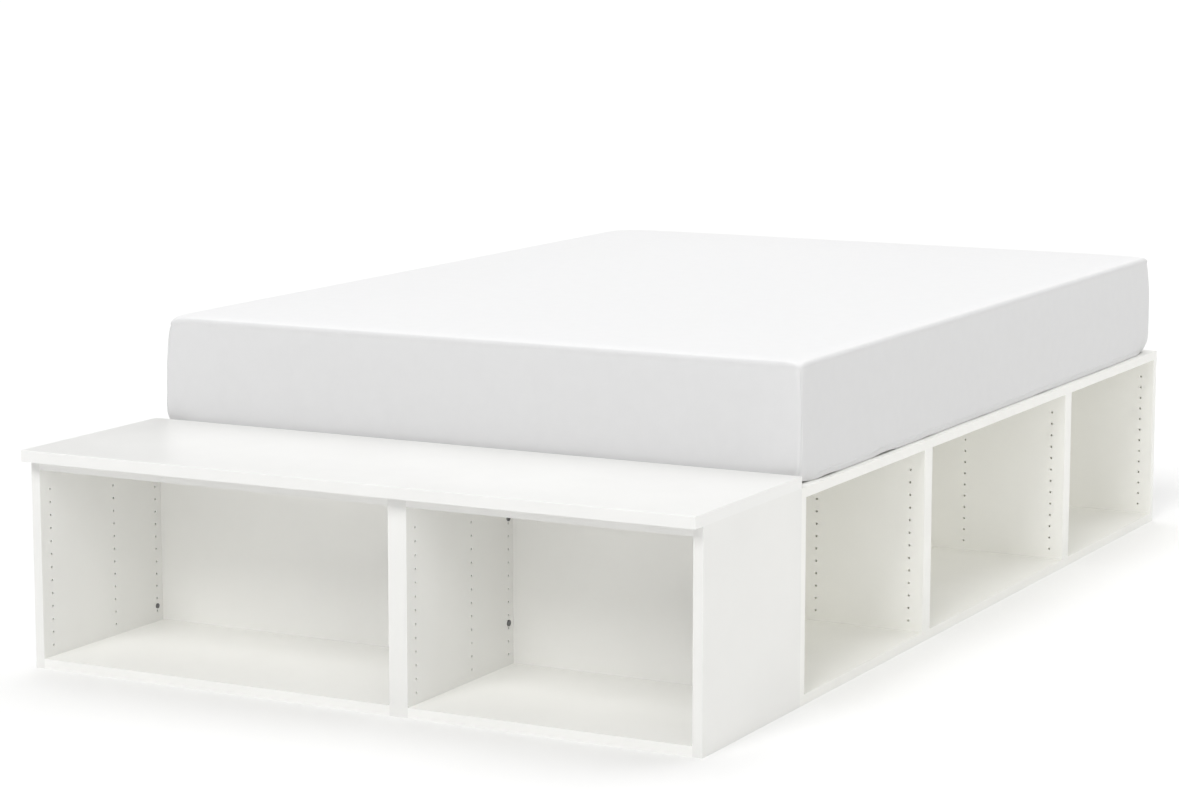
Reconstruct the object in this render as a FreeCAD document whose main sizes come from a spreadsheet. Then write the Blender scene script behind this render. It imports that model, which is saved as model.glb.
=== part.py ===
import FreeCAD, Part
import math
import os
from collections import namedtuple

import Sketcher
from FreeCAD import Placement, Rotation, Vector

# A double bed on open storage cabinets. Two cabinets stand across the foot under one long top board, and
# three stand along each side. Slats lie across the side cabinets and a centre beam, and the mattress lies on
# the slats. +X is the right side, +Y the head end and +Z up. The origin is the middle of the footprint, on
# the floor.

# Driving sizes in millimetres. Front and rear are a cabinet's open and closed sides.
SIZES = {
    # Cabinet carcass
    "cabinet_height": 400,
    "cabinet_depth": 400,
    "wide_width": 800,
    "narrow_width": 600,
    "board": 19,
    "back_thickness": 4,
    "back_play": 0.2,
    "groove_depth": 6,
    "groove_setback": 12,
    # Shelf-pin holes: the lowest one's height, the least height left above the highest, places from the front edge,
    # and from the rear edge for the last column
    "pin_diameter": 5,
    "pin_depth": 10,
    "pin_pitch": 25,
    "pin_lowest": 40,
    "pin_margin": 50,
    "pin_front": 30,
    "pin_middle": 228,
    "pin_rear": 35,
    # Dowels, and the clearances round and behind anything in a drilled hole
    "dowel_diameter": 8,
    "dowel_length": 30,
    "dowel_in_wall": 10,
    "dowel_front": 95,
    "dowel_rear": 95,
    "hole_play": 0.1,
    "end_play": 0.8,
    # Cam fittings
    "cam_bolt_diameter": 6,
    "cam_bolt_in_wall": 11,
    "cam_setback": 24,
    "cam_diameter": 15,
    "cam_thickness": 13,
    "cam_recess": 0.5,
    "cam_front": 50,
    "cam_rear": 60,
    # Link fittings through the double walls
    "link_diameter": 6,
    "link_sleeve_diameter": 8,
    "link_head_diameter": 12,
    "link_head_thickness": 2,
    "link_height": 100,
    # Plug in a hole of its own, in line with the last pin column
    "plug_height": 50,
    "plug_length": 8,
    "plug_head_diameter": 10,
    "plug_head_thickness": 2,
    # Screws that tie the side cabinets to the bench
    "tie_diameter": 5,
    "tie_length": 50,
    "tie_head_diameter": 9,
    "tie_head_thickness": 2,
    # Bench top and its screws
    "bench_top_thickness": 22,
    "bench_top_overhang": 30,
    "bench_top_round": 2,
    "top_screw_diameter": 4,
    "top_screw_length": 32,
    "top_screw_head_diameter": 8,
    "top_screw_head_thickness": 3,
    "top_screw_inset": 80,
    # Centre support
    "beam_width": 45,
    "beam_height": 70,
    "beam_play": 0.5,
    "leg_diameter": 40,
    "pad_diameter": 50,
    "pad_thickness": 5,
    # Slatted base
    "slat_width": 68,
    "slat_thickness": 12,
    "slat_gap": 62,
    "slat_inset": 70,
    "slat_end": 60,
    "slat_round": 3,
    "tape_width": 25,
    "tape_thickness": 1,
    "tape_inset": 60,
    # Mattress and fitted sheet
    "mattress_height": 211,
    "mattress_side_gap": 11.5,
    "mattress_foot_gap": 22,
    "mattress_head_gap": 26,
    "mattress_corner": 22,
    "mattress_lower_edge": 24,
    "mattress_upper_edge": 16,
    "mattress_bulge": 5,
    "mattress_crown": 6,
    "mattress_crown_run": 320,
    "rest_gap": 0.3,
    "sheet_thickness": 1.2,
    "sheet_play": 0.2,
}

# Places of the beam's legs along the beam, as shares of its length
LEG_SHARES = (1 / 8, 1 / 2, 7 / 8)
# Places down the side and over the top where the mattress outline is drawn, as shares of each stretch
EDGE_SHARES = (0, 1 / 4, 1 / 2, 3 / 4, 1)
SIDE_SHARES = (1 / 4, 1 / 2, 3 / 4)
CROWN_SHARES = (1 / 3, 2 / 3, 1)
# How far round the lower edge the sheet's hem lies, as a share of that edge
SHEET_HEM_SHARE = 1 / 2
# Keeps a count whole when the sizes divide exactly
ROUND_OFF = 0.001

# Lengths worked out from the driving sizes, as expressions
INNER_HEIGHT = "(Sizes.cabinet_height - 2 * Sizes.board)"
BED_WIDTH = "(Sizes.wide_width + Sizes.narrow_width)"
SIDE_LENGTH = "(Sizes.wide_width + 2 * Sizes.narrow_width)"
BED_LENGTH = f"(Sizes.bench_top_overhang + Sizes.cabinet_depth + {SIDE_LENGTH})"
GROOVE_FRONT = "(Sizes.cabinet_depth - Sizes.groove_setback - Sizes.back_thickness - Sizes.back_play)"
GROOVE_REAR = "(Sizes.cabinet_depth - Sizes.groove_setback + Sizes.back_play)"
GROOVE_FLOOR = "(Sizes.board - Sizes.groove_depth)"
BACK_TUCK = "(Sizes.groove_depth - Sizes.back_play)"
PIN_ROOM = "(Sizes.cabinet_height - Sizes.pin_lowest - Sizes.pin_margin)"
PIN_COUNT = f"(floor({PIN_ROOM} / Sizes.pin_pitch + {ROUND_OFF}) + 1)"
PIN_LOWEST_TURNED = f"(Sizes.cabinet_height - Sizes.pin_lowest - ({PIN_COUNT} - 1) * Sizes.pin_pitch)"
PIN_LAST_COLUMN = "(Sizes.cabinet_depth - Sizes.pin_rear)"
HALF_BOARD = "(Sizes.board / 2)"
TOP_JOINT = f"(Sizes.cabinet_height - {HALF_BOARD})"
DOWEL_PLACES = ("Sizes.dowel_front", "(Sizes.cabinet_depth - Sizes.dowel_rear)")
CAM_PLACES = ("Sizes.cam_front", "(Sizes.cabinet_depth - Sizes.cam_rear)")
LINK_HEIGHTS = ("Sizes.link_height", "(Sizes.cabinet_height - Sizes.link_height)")
SCREW_PLACES = ("Sizes.top_screw_inset", "(Sizes.cabinet_depth - Sizes.top_screw_inset)")
SCREW_IN_TOP = "(Sizes.top_screw_length - Sizes.board + Sizes.top_screw_head_thickness)"
LINK_SLEEVE_LENGTH = "(2 * Sizes.board - Sizes.end_play)"

# Places of the main faces in the bed's frame, as expressions
RIGHT_X = f"({BED_WIDTH} / 2)"
LEFT_X = f"(-{BED_WIDTH} / 2)"
FOOT_Y = f"(-{BED_LENGTH} / 2)"
BENCH_FRONT_Y = f"({FOOT_Y} + Sizes.bench_top_overhang)"
BENCH_REAR_Y = f"({BENCH_FRONT_Y} + Sizes.cabinet_depth)"
HEAD_Y = f"({BED_LENGTH} / 2)"
HEAD_PANEL_Y = f"({HEAD_Y} - Sizes.board)"
VOID_HALF = f"({BED_WIDTH} / 2 - Sizes.cabinet_depth)"

ALONG_U = Rotation(Vector(0, 1, 0), 90)
ALONG_Z = Rotation()
TURNED_OVER = Rotation(Vector(0, 1, 0), 180)

# A cabinet's own axes: u from its near end to its far end, v from its open front to its rear, z up.
# x and y place its near front corner, and turn is the angle from the bed's axes to its own.
Cabinet = namedtuple("Cabinet", "name width x y turn ends")

BENCH = [
    Cabinet("bench_wide", "Sizes.wide_width", LEFT_X, BENCH_FRONT_Y, 0, ("left", "right")),
    Cabinet("bench_narrow", "Sizes.narrow_width", f"({LEFT_X} + Sizes.wide_width)", BENCH_FRONT_Y, 0,
            ("left", "right")),
]


def side_row(side, turn, start, order, ends):
    """The three cabinets along one side, in the order of their own u axis."""
    front = RIGHT_X if turn > 0 else LEFT_X
    sign = "+" if turn > 0 else "-"
    row = []
    for place in order:
        width = "Sizes.wide_width" if place == "middle" else "Sizes.narrow_width"
        row.append(Cabinet(f"{side}_{place}", width, front, start, turn, ends))
        start = f"({start} {sign} {width})"
    return row


RIGHT = side_row("right", 90, BENCH_REAR_Y, ("foot", "middle", "head"), ("foot", "head"))
LEFT = side_row("left", -90, HEAD_Y, ("head", "middle", "foot"), ("head", "foot"))
ROWS = (BENCH, RIGHT, LEFT)

doc = FreeCAD.newDocument("bed")
sizes = doc.addObject("Spreadsheet::Sheet", "Sizes")
for row_number, (alias, amount) in enumerate(SIZES.items(), 1):
    sizes.set(f"A{row_number}", alias)
    sizes.set(f"B{row_number}", str(amount))
    sizes.setAlias(f"B{row_number}", alias)
doc.recompute()
pieces = []


def amount_of(expression):
    """The present value of an expression, in millimetres or as a plain number."""
    return float(sizes.evalExpression(expression))


def bind(thing, **properties):
    for name, expression in properties.items():
        thing.setExpression(name, expression)


def place(thing, x, y, z, rotation=ALONG_Z):
    thing.Placement = Placement(Vector(), rotation)
    for axis, expression in zip("xyz", (x, y, z)):
        thing.setExpression(f"Placement.Base.{axis}", expression)


def in_cabinet(cabinet, u, v):
    """A point of a cabinet's own axes as expressions for x and y."""
    if cabinet.turn > 0:
        return f"{cabinet.x} - {v}", f"{cabinet.y} + {u}"
    if cabinet.turn < 0:
        return f"{cabinet.x} + {v}", f"{cabinet.y} - {u}"
    return f"{cabinet.x} + {u}", f"{cabinet.y} + {v}"


def place_in(cabinet, thing, u, v, z, rotation=ALONG_Z):
    x, y = in_cabinet(cabinet, u, v)
    place(thing, x, y, z, Rotation(Vector(0, 0, 1), cabinet.turn) * rotation)


# Sketches and features


def new_body(label):
    body = doc.addObject("PartDesign::Body", label)
    body.Label = label
    pieces.append(body)
    return body


def origin_plane(body, role):
    return next(feature for feature in body.Origin.OriginFeatures if feature.Role == role)


def sketch_on(body, role, offset=None):
    sketch = body.newObject("Sketcher::SketchObject", f"{body.Name}_sketch")
    sketch.AttachmentSupport = (origin_plane(body, role), [""])
    sketch.MapMode = "FlatFace"
    if offset:
        sketch.setExpression("AttachmentOffset.Base.z", offset)
    return sketch


def fix_point(sketch, geometry, point, x, y):
    """Ties a point of a sketch to two expressions measured from the sketch's origin."""
    for kind, axis, expression in (("DistanceX", -2, x), ("DistanceY", -1, y)):
        if expression == "0":
            sketch.addConstraint(Sketcher.Constraint("PointOnObject", geometry, point, axis))
            continue
        datum = Sketcher.Constraint(kind, -1, 1, geometry, point, amount_of(expression))
        sketch.setExpression(f"Constraints[{sketch.addConstraint(datum)}]", expression)


def polygon(sketch, corners):
    """A closed outline whose corners are pairs of expressions."""
    points = [Vector(amount_of(x), amount_of(y), 0) for x, y in corners]
    count = len(points)
    for index in range(count):
        sketch.addGeometry(Part.LineSegment(points[index], points[(index + 1) % count]), False)
    for index in range(count):
        sketch.addConstraint(Sketcher.Constraint("Coincident", index, 2, (index + 1) % count, 1))
    for index, (x, y) in enumerate(corners):
        fix_point(sketch, index, 1, x, y)


def rectangle(sketch, width, height):
    polygon(sketch, [("0", "0"), (width, "0"), (width, height), ("0", height)])


def circles(sketch, places, diameter):
    for x, y in places:
        centre = Vector(amount_of(x), amount_of(y), 0)
        circle = Part.Circle(centre, Vector(0, 0, 1), amount_of(diameter) / 2)
        geometry = sketch.addGeometry(circle, False)
        datum = Sketcher.Constraint("Diameter", geometry, amount_of(diameter))
        sketch.setExpression(f"Constraints[{sketch.addConstraint(datum)}]", diameter)
        fix_point(sketch, geometry, 3, x, y)


def pad(body, sketch, length, both_ways=False):
    feature = body.newObject("PartDesign::Pad", f"{body.Name}_pad")
    feature.Profile = sketch
    if both_ways:
        feature.SideType = "Symmetric"
    feature.setExpression("Length", length)
    return feature


def drill(body, role, offset, places, diameter, depth=None, along_normal=False):
    """Round holes from a plane into the body, right through it where no depth is given."""
    sketch = sketch_on(body, role, offset)
    circles(sketch, places, diameter)
    feature = body.newObject("PartDesign::Pocket", f"{body.Name}_holes")
    feature.Profile = sketch
    feature.Reversed = along_normal
    if depth:
        feature.setExpression("Length", depth)
    else:
        feature.Type = "ThroughAll"
    return feature


def with_play(diameter):
    return f"({diameter} + 2 * Sizes.hole_play)"


def plank(label, length, width, height):
    """A plain board with a corner at its own origin."""
    body = new_body(label)
    sketch = sketch_on(body, "XY_Plane")
    rectangle(sketch, length, width)
    pad(body, sketch, height)
    return body


def round_edges(body, radius, chosen):
    """Rounds the edges of the finished body that the test chooses."""
    doc.recompute()
    base = body.Tip
    names = [f"Edge{number}" for number, edge in enumerate(base.Shape.Edges, 1) if chosen(edge)]
    feature = body.newObject("PartDesign::Fillet", f"{body.Name}_round")
    feature.Base = (base, names)
    feature.setExpression("Radius", radius)


# Cabinet boards


def wall(cabinet, end, linked=False, tied=False, rear_hole=None, plugged=False):
    """A side wall with its groove, pin holes and joint holes. The far wall is turned over, its pin holes at one level
    with the near wall's."""
    body = new_body(f"{cabinet.name}_{cabinet.ends[end]}_wall")
    outline = sketch_on(body, "XY_Plane")
    polygon(outline, [
        ("0", "0"), ("Sizes.board", "0"), ("Sizes.board", GROOVE_FRONT), (GROOVE_FLOOR, GROOVE_FRONT),
        (GROOVE_FLOOR, GROOVE_REAR), ("Sizes.board", GROOVE_REAR), ("Sizes.board", "Sizes.cabinet_depth"),
        ("0", "Sizes.cabinet_depth")])
    pad(body, outline, "Sizes.cabinet_height")
    joints = (HALF_BOARD, TOP_JOINT)
    drill(body, "YZ_Plane", "Sizes.board", [(v, z) for v in DOWEL_PLACES for z in joints],
          with_play("Sizes.dowel_diameter"), "Sizes.dowel_in_wall + Sizes.end_play")
    drill(body, "YZ_Plane", "Sizes.board", [(v, z) for v in CAM_PLACES for z in joints],
          with_play("Sizes.cam_bolt_diameter"), "Sizes.cam_bolt_in_wall + Sizes.end_play")
    if linked:
        drill(body, "YZ_Plane", "Sizes.board", [(PIN_LAST_COLUMN, z) for z in LINK_HEIGHTS],
              with_play("Sizes.link_sleeve_diameter"))
    if tied:
        drill(body, "YZ_Plane", "Sizes.board", [(HALF_BOARD, z) for z in LINK_HEIGHTS],
              with_play("Sizes.tie_diameter"))
    if rear_hole:
        diameter, depth = rear_hole
        drill(body, "XZ_Plane", "-Sizes.cabinet_depth", [(HALF_BOARD, z) for z in LINK_HEIGHTS],
              with_play(diameter), f"{depth} + Sizes.end_play", along_normal=True)
    if plugged:
        drill(body, "YZ_Plane", "Sizes.board", [(PIN_LAST_COLUMN, "Sizes.plug_height")],
              "Sizes.pin_diameter", "Sizes.pin_depth")
    lowest = PIN_LOWEST_TURNED if end else "Sizes.pin_lowest"
    columns = [(v, lowest) for v in ("Sizes.pin_front", "Sizes.pin_middle", PIN_LAST_COLUMN)]
    pins = drill(body, "YZ_Plane", "Sizes.board", columns, "Sizes.pin_diameter", "Sizes.pin_depth")
    rows = body.newObject("PartDesign::LinearPattern", f"{body.Name}_pin_rows")
    rows.Originals = [pins]
    rows.Direction = (pins.Profile[0], ["V_Axis"])
    rows.Mode = "Spacing"
    bind(rows, Offset="Sizes.pin_pitch", Occurrences=PIN_COUNT)
    body.Tip = rows
    if end:
        place_in(cabinet, body, cabinet.width, "0", "Sizes.cabinet_height", TURNED_OVER)
    else:
        place_in(cabinet, body, "0", "0", "0")


def shelf_board(cabinet, name, screwed=False):
    """A top or bottom board between the walls. The top one is the bottom one turned over."""
    body = new_body(f"{cabinet.name}_{name}_board")
    half = f"({cabinet.width} / 2 - Sizes.board)"
    outline = sketch_on(body, "YZ_Plane")
    polygon(outline, [
        ("0", "0"), ("Sizes.cabinet_depth", "0"), ("Sizes.cabinet_depth", "Sizes.board"),
        (GROOVE_REAR, "Sizes.board"), (GROOVE_REAR, GROOVE_FLOOR), (GROOVE_FRONT, GROOVE_FLOOR),
        (GROOVE_FRONT, "Sizes.board"), ("0", "Sizes.board")])
    pad(body, outline, f"2 * {half}", both_ways=True)
    holes = [
        drill(body, "YZ_Plane", half, [(v, HALF_BOARD) for v in DOWEL_PLACES],
              with_play("Sizes.dowel_diameter"), "Sizes.dowel_length - Sizes.dowel_in_wall + Sizes.end_play"),
        drill(body, "YZ_Plane", half, [(v, HALF_BOARD) for v in CAM_PLACES],
              with_play("Sizes.cam_bolt_diameter"), "Sizes.cam_setback"),
        drill(body, "XY_Plane", None, [(f"{half} - Sizes.cam_setback", v) for v in CAM_PLACES],
              with_play("Sizes.cam_diameter"), "Sizes.cam_recess + Sizes.cam_thickness + Sizes.hole_play",
              along_normal=True)]
    if screwed:
        screws = [(f"{half} - Sizes.top_screw_inset", v) for v in SCREW_PLACES]
        holes.append(drill(body, "XY_Plane", "Sizes.board", screws, with_play("Sizes.top_screw_diameter")))
        holes.append(drill(body, "XY_Plane", "Sizes.board", screws,
                           with_play("Sizes.top_screw_head_diameter"), "Sizes.top_screw_head_thickness"))
    other_end = body.newObject("PartDesign::Mirrored", f"{body.Name}_other_end")
    other_end.Originals = holes
    other_end.MirrorPlane = (origin_plane(body, "YZ_Plane"), [""])
    body.Tip = other_end
    middle = f"({cabinet.width} / 2)"
    if name == "top":
        place_in(cabinet, body, middle, "0", "Sizes.cabinet_height", TURNED_OVER)
    else:
        place_in(cabinet, body, middle, "0", "0")


def back_panel(cabinet):
    """A thin panel held in the grooves of the four boards."""
    width = f"({cabinet.width} - 2 * Sizes.board + 2 * {BACK_TUCK})"
    height = f"{INNER_HEIGHT} + 2 * {BACK_TUCK}"
    body = plank(f"{cabinet.name}_back_panel", width, "Sizes.back_thickness", height)
    place_in(cabinet, body, f"(Sizes.board - {BACK_TUCK})", f"({GROOVE_FRONT} + Sizes.back_play)",
             f"Sizes.board - {BACK_TUCK}")


def cabinet_boards(row, index):
    """The five boards of one cabinet, drilled for what it is joined to."""
    cabinet = row[index]
    tie_hole = ("Sizes.tie_diameter", "Sizes.tie_length - Sizes.board")
    head_hole = ("Sizes.dowel_diameter", "Sizes.dowel_in_wall")
    for end, is_linked in ((0, index > 0), (1, index < len(row) - 1)):
        outer = not is_linked
        rear_hole = tie_hole if row is BENCH and outer else None
        if row is not BENCH and outer and cabinet.ends[end] == "head":
            rear_hole = head_hole
        is_tied = row is not BENCH and outer and cabinet.ends[end] == "foot"
        is_plugged = row is BENCH and index == 0 and end == 0
        wall(cabinet, end, is_linked, is_tied, rear_hole, is_plugged)
    shelf_board(cabinet, "bottom")
    shelf_board(cabinet, "top", screwed=row is BENCH)
    back_panel(cabinet)


# Bench top, head panel, centre support and slatted base


def bench_top():
    body = plank("bench_top", BED_WIDTH, "Sizes.bench_top_overhang + Sizes.cabinet_depth",
                 "Sizes.bench_top_thickness")
    round_edges(body, "Sizes.bench_top_round", lambda edge: edge.BoundBox.ZMin > 0)
    inset = "(Sizes.board + Sizes.top_screw_inset)"
    spots = []
    for cabinet, start in zip(BENCH, ("0", "Sizes.wide_width")):
        for u in (inset, f"({cabinet.width} - {inset})"):
            spots += [(f"{start} + {u}", f"Sizes.bench_top_overhang + {v}") for v in SCREW_PLACES]
    drill(body, "XY_Plane", None, spots, with_play("Sizes.top_screw_diameter"),
          f"{SCREW_IN_TOP} + Sizes.end_play", along_normal=True)
    place(body, LEFT_X, FOOT_Y, "Sizes.cabinet_height")


def head_panel():
    """The board that closes the gap between the two side rows at the head end."""
    body = plank("head_panel", f"2 * {VOID_HALF}", "Sizes.board", "Sizes.cabinet_height")
    spots = [(HALF_BOARD, z) for z in LINK_HEIGHTS]
    size = (with_play("Sizes.dowel_diameter"), "Sizes.dowel_length - Sizes.dowel_in_wall + Sizes.end_play")
    drill(body, "YZ_Plane", None, spots, *size, along_normal=True)
    drill(body, "YZ_Plane", f"2 * {VOID_HALF}", spots, *size)
    place(body, f"-{VOID_HALF}", HEAD_PANEL_Y, "0")


def centre_support():
    start = f"({BENCH_REAR_Y} + Sizes.beam_play)"
    length = f"({HEAD_PANEL_Y} - {BENCH_REAR_Y} - 2 * Sizes.beam_play)"
    underside = "(Sizes.cabinet_height - Sizes.beam_height)"
    beam = plank("centre_beam", "Sizes.beam_width", length, "Sizes.beam_height")
    place(beam, "-Sizes.beam_width / 2", start, underside)
    spots = [f"{start} + {length} * {share}" for share in LEG_SHARES]
    legs = [peg("leg", "Sizes.leg_diameter", f"{underside} - Sizes.pad_thickness") for _ in spots]
    pads = [peg("pad", "Sizes.pad_diameter", "Sizes.pad_thickness") for _ in spots]
    for leg, foot, y in zip(legs, pads, spots):
        place(leg, "0", y, "Sizes.pad_thickness")
        place(foot, "0", y, "0")
    group("centre_legs", legs)
    group("leg_pads", pads)


def slatted_base():
    run = f"({HEAD_PANEL_Y} - {BENCH_REAR_Y} - 2 * Sizes.slat_end)"
    most = amount_of(f"({run} + Sizes.slat_gap) / (Sizes.slat_width + Sizes.slat_gap)")
    count = math.floor(most + ROUND_OFF)
    pitch = f"(({run} - Sizes.slat_width) / {count - 1})"
    start = f"({BENCH_REAR_Y} + Sizes.slat_end)"
    length = f"({BED_WIDTH} - 2 * Sizes.slat_inset)"
    slats = []
    for index in range(count):
        slat = plank(f"slat_{index + 1}", length, "Sizes.slat_width", "Sizes.slat_thickness")
        round_edges(slat, "Sizes.slat_round", runs_along_x)
        place(slat, f"-{length} / 2", f"{start} + {index} * {pitch}", "Sizes.cabinet_height")
        slats.append(pieces.pop())
    group("slats", slats)
    tapes = []
    for x in (f"{VOID_HALF} - Sizes.tape_inset - Sizes.tape_width", f"Sizes.tape_inset - {VOID_HALF}"):
        tape = doc.addObject("Part::Box", "tape")
        bind(tape, Length="Sizes.tape_width", Width=run, Height="Sizes.tape_thickness")
        place(tape, x, start, "Sizes.cabinet_height - Sizes.tape_thickness")
        tapes.append(tape)
    group("slat_tapes", tapes)


def runs_along_x(edge):
    box = edge.BoundBox
    return box.XLength > box.YLength + box.ZLength


# Fasteners, each kind one group of separate solids


def peg(name, diameter, length):
    cylinder = doc.addObject("Part::Cylinder", name)
    bind(cylinder, Radius=f"({diameter}) / 2", Height=length)
    return cylinder


def group(label, members):
    compound = doc.addObject("Part::Compound", label)
    compound.Label = label
    compound.Links = members
    pieces.append(compound)


def combined(kind, name, base, tool):
    feature = doc.addObject(f"Part::{kind}", name)
    feature.Base = base
    feature.Tool = tool
    return feature


def from_end(cabinet, end, near, length):
    """Where a peg along u starts, given its place from the near end as seen from either end."""
    return f"({cabinet.width} - ({near}) - ({length}))" if end else f"({near})"


def carcass_fittings():
    dowels, bolts, cams = [], [], []
    bolt_length = "(Sizes.cam_bolt_in_wall + Sizes.cam_setback)"
    for cabinet in (cabinet for row in ROWS for cabinet in row):
        for end in (0, 1):
            for z, is_top in ((HALF_BOARD, False), (TOP_JOINT, True)):
                for v in DOWEL_PLACES:
                    dowel = peg("dowel", "Sizes.dowel_diameter", "Sizes.dowel_length")
                    u = from_end(cabinet, end, "Sizes.board - Sizes.dowel_in_wall", "Sizes.dowel_length")
                    place_in(cabinet, dowel, u, v, z, ALONG_U)
                    dowels.append(dowel)
                for v in CAM_PLACES:
                    bolt = peg("cam_bolt", "Sizes.cam_bolt_diameter", bolt_length)
                    u = from_end(cabinet, end, "Sizes.board - Sizes.cam_bolt_in_wall", bolt_length)
                    place_in(cabinet, bolt, u, v, z, ALONG_U)
                    bolts.append(bolt)
                    cams.append(cam_disc(cabinet, end, v, z, is_top))
    right = f"{VOID_HALF} + Sizes.dowel_in_wall - Sizes.dowel_length"
    for x in (f"-{VOID_HALF} - Sizes.dowel_in_wall", right):
        for z in LINK_HEIGHTS:
            dowel = peg("head_dowel", "Sizes.dowel_diameter", "Sizes.dowel_length")
            place(dowel, x, f"{HEAD_PANEL_Y} + {HALF_BOARD}", z, ALONG_U)
            dowels.append(dowel)
    group("wood_dowels", dowels)
    group("cam_bolts", bolts)
    group("cam_discs", cams)


def cam_disc(cabinet, end, v, z, is_top):
    """A disc let into the outer face of a board, with the cross hole that takes the bolt."""
    disc = peg("cam", "Sizes.cam_diameter", "Sizes.cam_thickness")
    cross = peg("cam_hole", with_play("Sizes.cam_bolt_diameter"), "Sizes.cam_diameter")
    centre = from_end(cabinet, end, "Sizes.board + Sizes.cam_setback", "0")
    low = "Sizes.cabinet_height - Sizes.cam_recess - Sizes.cam_thickness" if is_top else "Sizes.cam_recess"
    place_in(cabinet, disc, centre, v, low)
    place_in(cabinet, cross, f"({centre} - Sizes.cam_diameter / 2)", v, z, ALONG_U)
    return combined("Cut", "cam_disc", disc, cross)


def link_fittings():
    """Bolts and sleeves that clamp neighbouring cabinets wall to wall."""
    bolts, sleeves = [], []
    for row in ROWS:
        for cabinet in row[:-1]:
            for z in LINK_HEIGHTS:
                near_face = f"({cabinet.width} - Sizes.board)"
                far_face = f"({cabinet.width} + Sizes.board)"
                where = (PIN_LAST_COLUMN, z, ALONG_U)
                head = peg("link_head", "Sizes.link_head_diameter", "Sizes.link_head_thickness")
                shank = peg("link_shank", "Sizes.link_diameter", LINK_SLEEVE_LENGTH)
                place_in(cabinet, head, f"({near_face} - Sizes.link_head_thickness)", *where)
                place_in(cabinet, shank, near_face, *where)
                bolts.append(combined("Fuse", "link_bolt", head, shank))
                flange = peg("link_flange", "Sizes.link_head_diameter", "Sizes.link_head_thickness")
                tube = peg("link_tube", "Sizes.link_sleeve_diameter", LINK_SLEEVE_LENGTH)
                bore = peg("link_bore", with_play("Sizes.link_diameter"), LINK_SLEEVE_LENGTH)
                place_in(cabinet, flange, far_face, *where)
                place_in(cabinet, tube, f"({far_face} - {LINK_SLEEVE_LENGTH})", *where)
                place_in(cabinet, bore, f"({far_face} - {LINK_SLEEVE_LENGTH})", *where)
                outside = combined("Fuse", "link_outside", flange, tube)
                sleeves.append(combined("Cut", "link_sleeve", outside, bore))
    group("link_bolts", bolts)
    group("link_sleeves", sleeves)


def wall_plug():
    """A round-headed plug low down on the bench's left wall, beside the back panel."""
    cabinet = BENCH[0]
    where = (PIN_LAST_COLUMN, "Sizes.plug_height", ALONG_U)
    stem = peg("plug_stem", "(Sizes.pin_diameter - 2 * Sizes.hole_play)", "Sizes.plug_length")
    head = peg("plug_head", "Sizes.plug_head_diameter", "Sizes.plug_head_thickness")
    place_in(cabinet, stem, "(Sizes.board - Sizes.plug_length)", *where)
    place_in(cabinet, head, "Sizes.board", *where)
    group("wall_plug", [combined("Fuse", "plug", stem, head)])


def tie_screws():
    """Screws from the side cabinets' foot walls into the rear edges of the bench's outer walls."""
    screws = []
    for cabinet, end in ((RIGHT[0], 0), (LEFT[-1], 1)):
        for z in LINK_HEIGHTS:
            where = (HALF_BOARD, z, ALONG_U)
            shank = peg("tie_shank", "Sizes.tie_diameter", "Sizes.tie_length")
            head = peg("tie_head", "Sizes.tie_head_diameter", "Sizes.tie_head_thickness")
            shank_u = from_end(cabinet, end, "Sizes.board - Sizes.tie_length", "Sizes.tie_length")
            head_u = from_end(cabinet, end, "Sizes.board", "Sizes.tie_head_thickness")
            place_in(cabinet, shank, shank_u, *where)
            place_in(cabinet, head, head_u, *where)
            screws.append(combined("Fuse", "tie_screw", shank, head))
    group("tie_screws", screws)


def bench_top_screws():
    screws = []
    inset = "(Sizes.board + Sizes.top_screw_inset)"
    underside = "(Sizes.cabinet_height - Sizes.board)"
    for cabinet in BENCH:
        for u in (inset, f"({cabinet.width} - {inset})"):
            for v in SCREW_PLACES:
                head = peg("screw_head", "Sizes.top_screw_head_diameter", "Sizes.top_screw_head_thickness")
                shank = peg("screw_shank", "Sizes.top_screw_diameter", "Sizes.top_screw_length")
                place_in(cabinet, head, u, v, underside)
                place_in(cabinet, shank, u, v, f"{underside} + Sizes.top_screw_head_thickness")
                screws.append(combined("Fuse", "top_screw", head, shank))
    group("bench_top_screws", screws)


# Mattress and fitted sheet


def rounded_outline(half_width, half_length, corner, z):
    """A level rounded rectangle, with a line for each side and a quarter arc for each corner."""
    x, y = half_width - corner, half_length - corner
    reach = corner * math.sqrt(1 / 2)
    edges = []
    for side_x, side_y in ((1, 1), (-1, 1), (-1, -1), (1, -1)):
        centre = Vector(side_x * x, side_y * y, z)
        along_x = centre + Vector(side_x * corner, 0, 0)
        along_y = centre + Vector(0, side_y * corner, 0)
        middle = centre + Vector(side_x * reach, side_y * reach, 0)
        start, end = (along_x, along_y) if side_x == side_y else (along_y, along_x)
        if edges:
            edges.append(Part.LineSegment(edges[-1].EndPoint, start))
        edges.append(Part.Arc(start, middle, end))
    edges.append(Part.LineSegment(edges[-1].EndPoint, edges[0].StartPoint))
    return Part.Wire([edge.toShape() for edge in edges])


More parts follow.
